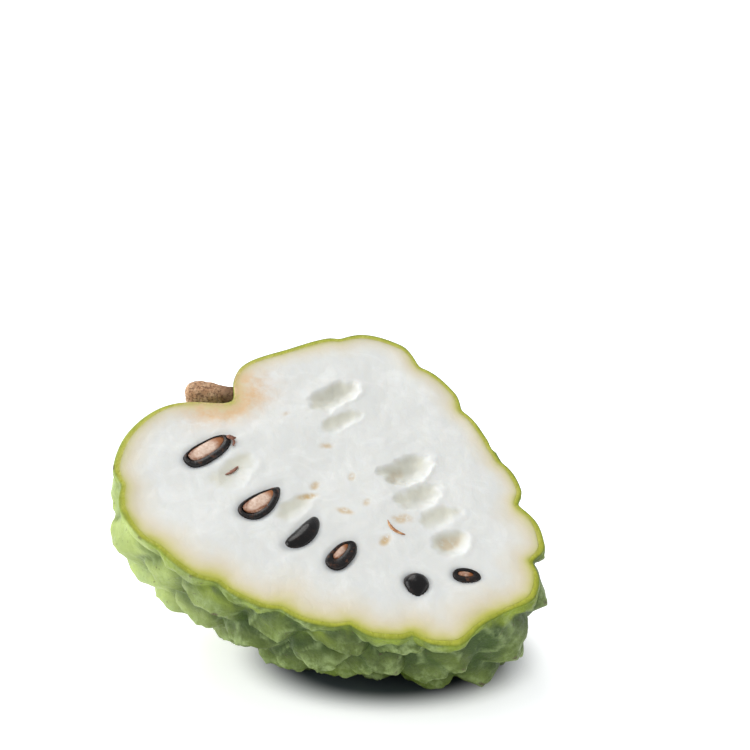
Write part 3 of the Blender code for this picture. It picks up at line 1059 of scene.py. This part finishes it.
coatPaint = {
    "black": picked(14, 11, 10),
    "brown": picked(52, 34, 26),
    "bare": picked(96, 58, 34),
    "worn": ((500, 4, 0.6), (0.5, 0.75, 0.0, 0.6)),
    "barePatch": ((620, 4, 0.65), (0.52, 0.68, 0.0, 0.6)),
    "rough": ((700, 3, 0.6), (0.3, 0.7, 0.18, 0.38)),
    "dents": ((800, 3, 0.5), 0.4, 0.0002),
    "surface": {"Specular IOR Level": 0.18, "Coat Weight": 0.22, "Coat Roughness": 0.05},
}


def makeCoatMaterial():
    material, tree, place = newMaterial("blackSeedCoat")
    look = coatPaint
    colour = mixed(tree, patches(tree, place, look["worn"]), look["black"], look["brown"])
    bare = patches(tree, place, look["barePatch"])
    colour = laidOver(tree, colour, look["bare"], bare, painted(tree, "cutEdge"))
    dents = dented(tree, place, look["dents"])
    rough = patches(tree, place, look["rough"])
    return dressed(material, colour, rough, {"Normal": dents, **look["surface"]})


kernelPaint = {
    "pale": picked(232, 206, 186),
    "tan": picked(208, 174, 150),
    "tip": picked(158, 92, 34),
    "edge": picked(132, 72, 26),
    "veins": ((900, 4, 0.6, 1.0), (0.35, 0.65)),
    "tipNoise": ((600, 2), 0.2),
    "tipLevels": (0.72, 0.94),
    "worn": ((1300, 3, 0.6), (0.3, 0.6, 0.45, 1.0)),
    "dents": (0.3, 0.0002),
    "rough": 0.42,
}


def makeKernelMaterial():
    material, tree, place = newMaterial("tanKernel")
    look = kernelPaint
    veins = patches(tree, place, look["veins"])
    colour = mixed(tree, veins, look["tan"], look["pale"])
    clouds, far = look["tipNoise"]
    end = reckon(tree, "MULTIPLY_ADD", cloudy(tree, place, *clouds), far, painted(tree, "tip"))
    colour = mixed(tree, spread(tree, end, *look["tipLevels"]), colour, look["tip"])
    worn = patches(tree, place, look["worn"])
    colour = laidOver(tree, colour, look["edge"], painted(tree, "brown"), worn)
    return dressed(material, colour, look["rough"], {"Normal": bumped(tree, veins, *look["dents"])})


# stem

stemBuild = {
    # radius and height over the foot, from the root to the blunt end
    "profile": (
        (2.0, -2.0), (2.1, 0.0), (2.3, 2.0), (2.6, 3.4), (3.0, 5.0), (3.2, 6.5),
        (3.35, 8.0), (3.25, 9.6), (2.7, 10.7), (1.7, 11.4), (0.5, 11.7),
    ),
    "foot": (-2.1, 43.7, -3.2),
    "way": (-0.64, 0.75, -0.19),
    "sides": 72,
    "stepsPerMm": 5,
    "softSteps": 2,  # how many steps to each side the profile is softened over
    "endDome": 0.02,
    "outward": (1, 1, 0.15),  # the lumps push outwards, and hardly along the stem
    "lumps": ((2.4, 0.22), (0.9, 0.16), (0.4, 0.08)),
    "pitDepth": 0.3,
}


def makeStem():
    radii, heights = zip(*stemBuild["profile"])
    lengths = np.concatenate(([0], np.cumsum(np.hypot(np.diff(radii), np.diff(heights)))))
    steps = np.linspace(0, lengths[-1], int(lengths[-1] * stemBuild["stepsPerMm"]))
    radii = np.interp(steps, lengths, radii)
    heights = np.interp(steps, lengths, heights)
    side = stemBuild["softSteps"]
    window = np.ones(2 * side + 1) / (2 * side + 1)
    soft = np.convolve(np.pad(radii, side, mode="edge"), window, "valid")
    end = heights[-1] + stemBuild["endDome"]
    corners = [(0, heights[0])] + list(zip(soft, heights)) + [(0, end)]
    stem = spinProfile("stemStub", corners, stemBuild["sides"])
    points = readPoints(stem)
    outward = points * stemBuild["outward"]
    outward /= np.maximum(np.linalg.norm(outward, axis=1), 1e-6)[:, None]
    rough = layered(points, stemBuild["lumps"])
    writeValues(stem, pit=smoothStep(-rough, 0.0, stemBuild["pitDepth"]), height=points[:, 2])
    points = points + outward * rough[:, None]
    tilt = Vector((0, 0, 1)).rotation_difference(Vector(stemBuild["way"])).to_matrix().to_4x4()
    writePoints(stem, points * mm)
    stem.data.transform(fruitPlace @ Matrix.Translation(Vector(stemBuild["foot"]) * mm) @ tilt)
    return stem


stemPaint = {
    "cork": picked(178, 134, 98),
    "pale": picked(208, 170, 134),
    "dark": picked(98, 66, 42),
    "patch": ((500, 4, 0.65), (0.35, 0.65)),
    "specks": ((1900, 3, 0.6), (0.5, 0.62)),
    "darkShare": 0.7,
    "root": (0.0, 4.0, 0.8, 0.0),  # darker this far up from the foot
    "dents": (0.5, 0.0002),
    "rough": 0.85,
}


def makeStemMaterial():
    material, tree, place = newMaterial("corkyStem")
    look = stemPaint
    colour = mixed(tree, patches(tree, place, look["patch"]), look["cork"], look["pale"])
    specks = patches(tree, place, look["specks"])
    # dark specks, and painted shade in the pits between the lumps
    for share in (specks, painted(tree, "pit")):
        colour = laidOver(tree, colour, look["dark"], share, look["darkShare"])
    colour = mixed(tree, spread(tree, painted(tree, "height"), *look["root"]), colour, look["dark"])
    return dressed(material, colour, look["rough"], {"Normal": bumped(tree, specks, *look["dents"])})


# bits on the cut: brown splinters and the stalk of the first seed

splinters = {  # start, end, thickness, bend, brown or orange
    "splinterLeft": ((-21.6, 21.3, -0.35), (-17.4, 21.7, -0.1), 0.8, 0.3, "brown"),
    "splinterCore": ((0.1, -11.7, 0.1), (0.5, -17.6, 0.15), 0.85, 1.0, "orange"),
    "seedStalk": ((-14.3, 30.6, 0.9), (-12.9, 28.6, 0.7), 1.2, 0.2, "brown"),
    "seedStalkEnd": ((-13.2, 29.2, 0.7), (-14.7, 27.2, 0.3), 0.7, -0.3, "brown"),
}

splinterBuild = {
    "segments": 20,
    "rings": 16,
    "flatness": 2 / 3,
    "lumps": (0.5, 0.14),  # size, and height as a share of the thickness
    "lumpDraws": (0.0, 3.0, 6.0),
}

splinterPaint = {
    "grain": ((1200, 3, 0.6), (0.35, 0.65)),
    "dents": (0.3, 0.0001),
    "rough": 0.5,
}


def makeSplinter(name, start, end, thick, bend):
    splinter = addBall(name, splinterBuild["segments"], splinterBuild["rings"])
    start, end = Vector(start), Vector(end)
    way = end - start
    lumpSize, lumpHeight = splinterBuild["lumps"]
    points = readPoints(splinter)
    part = points[:, 0].copy()
    points *= (way.length / 2, thick / 2, thick / 2 * splinterBuild["flatness"])
    points[:, 1] += bend * (part**2 - 0.5)
    drift = [lumps(points, lumpSize, draw) for draw in splinterBuild["lumpDraws"]]
    points += lumpHeight * thick * np.stack(drift, axis=1)
    writePoints(splinter, points * mm)
    turn = Matrix.Rotation(math.atan2(way.y, way.x), 4, "Z")
    splinter.data.transform(fruitPlace @ Matrix.Translation((start + end) / 2 * mm) @ turn)
    return splinter


def makeSplinterMaterial(name, dark, light):
    material, tree, place = newMaterial(name)
    look = splinterPaint
    grain = patches(tree, place, look["grain"])
    colour = mixed(tree, grain, dark, light)
    return dressed(material, colour, look["rough"], {"Normal": bumped(tree, grain, *look["dents"])})


# build

rind = makeRind()
finishPiece(rind, makeRindMaterial(), "skin", "skin")
print("rind:", len(rind.data.polygons), "faces")

pulp = makePulp()
finishPiece(pulp, makePulpMaterial(), "flesh", "flesh")
print("pulp:", len(pulp.data.polygons), "faces")

coatMaterial = makeCoatMaterial()
kernelMaterial = makeKernelMaterial()
for name, seed in seeds.items():
    finishPiece(makeCoat(name, seed), coatMaterial, "seed_coat", "seed_" + name)
    if seed["opening"]:
        finishPiece(makeKernel(name, seed), kernelMaterial, "kernel", "kernel_" + name)
print("seeds:", len(seeds))

stem = makeStem()
finishPiece(stem, makeStemMaterial(), "stem", "stem")
print("stem:", len(stem.data.polygons), "faces")

splinterMaterials = {
    "brown": makeSplinterMaterial("brownSplinter", picked(96, 58, 44), picked(150, 100, 78)),
    "orange": makeSplinterMaterial("orangeSplinter", picked(150, 92, 50), picked(208, 160, 112)),
}
for name, (*values, finish) in splinters.items():
    finishPiece(makeSplinter(name, *values), splinterMaterials[finish], "seed_coat")
print("splinters:", len(splinters))


# table, light and camera

studio = {
    "table": picked(251, 251, 252),
    "tableSize": 12,
    "tableRough": 0.55,
    "sky": (0.93, 0.96, 1.0, 1.0),
    "skyStrength": 0.64,
    # the table glows softly, a glow that is painted light, save in an oval of painted shadow round the
    # spot where the fruit rests, where its colour is dark grey
    "paintedGlow": 0.48,
    "paintedShadowMiddle": (0.0145, -0.0105),
    "paintedShadowHalf": (0.0315, 0.0245),
    "paintedShadowEdge": (0.74, 1.26),
    "paintedShadowColour": picked(78, 86, 90),
    "cameraStep": (0.00530, -0.35406, 0.14397),
    "cameraPitch": 72.0,
    "lens": 76.8,
    "sensor": 36,
    "nearest": 0.01,
}

suns = {  # where from, strength, how broad in degrees, colour
    "overheadLight": ((-0.28, 0.38, 0.88), 1.25, 40, (1.0, 0.99, 0.97)),
    "leftLight": ((-0.92, -0.15, 0.36), 1.9, 50, (0.98, 0.99, 1.0)),
}


def makeTable():
    nothingSelected()
    bpy.ops.mesh.primitive_plane_add(size=studio["tableSize"], location=(0, 0, 0))
    table = bpy.context.active_object
    table.name = "table"
    material, tree, place = newMaterial("paleTable")
    (x, y), (halfLong, halfWide) = studio["paintedShadowMiddle"], studio["paintedShadowHalf"]
    inputs = {0: place, 1: (1 / halfLong, 1 / halfWide, 0), 2: (-x / halfLong, -y / halfWide, 0)}
    inPaintedShadow = addNode(tree, "VectorMath", inputs, operation="MULTIPLY_ADD").outputs[0]
    away = addNode(tree, "VectorMath", {0: inPaintedShadow}, operation="LENGTH").outputs["Value"]
    # painted shadow: dark grey and without glow inside the oval, pale and glowing outside it
    outside = spread(tree, away, *studio["paintedShadowEdge"])
    colour = mixed(tree, outside, studio["paintedShadowColour"], studio["table"])
    paintedGlow = product(tree, outside, studio["paintedGlow"])
    dressed(material, colour, studio["tableRough"], {"Emission Strength": paintedGlow})
    table.data.materials.append(material)


def makeLamps():
    for name, (way, strength, broad, colour) in suns.items():
        bpy.ops.object.light_add(type="SUN", location=way)
        lamp = bpy.context.active_object
        lamp.name = name
        lamp.data.energy = strength
        lamp.data.angle = math.radians(broad)
        lamp.data.color = colour
        lamp.rotation_euler = Vector(way).to_track_quat("Z", "Y").to_euler()
    world = bpy.data.worlds.new("softRoom")
    bpy.context.scene.world = world
    world.use_nodes = True
    looks = {"Color": studio["sky"], "Strength": studio["skyStrength"]}
    connect(world.node_tree, world.node_tree.nodes["Background"], looks)


def makeCamera():
    place = Vector(lie["middle"]) + Vector(studio["cameraStep"])
    bpy.ops.object.camera_add(location=place, rotation=(math.radians(studio["cameraPitch"]), 0, 0))
    camera = bpy.context.active_object
    camera.data.lens = studio["lens"]
    camera.data.sensor_width = studio["sensor"]
    camera.data.clip_start = studio["nearest"]
    bpy.context.scene.camera = camera


makeTable()
makeLamps()
makeCamera()
bpy.context.scene.view_settings.view_transform = "Standard"
print("table, lamps and camera placed")
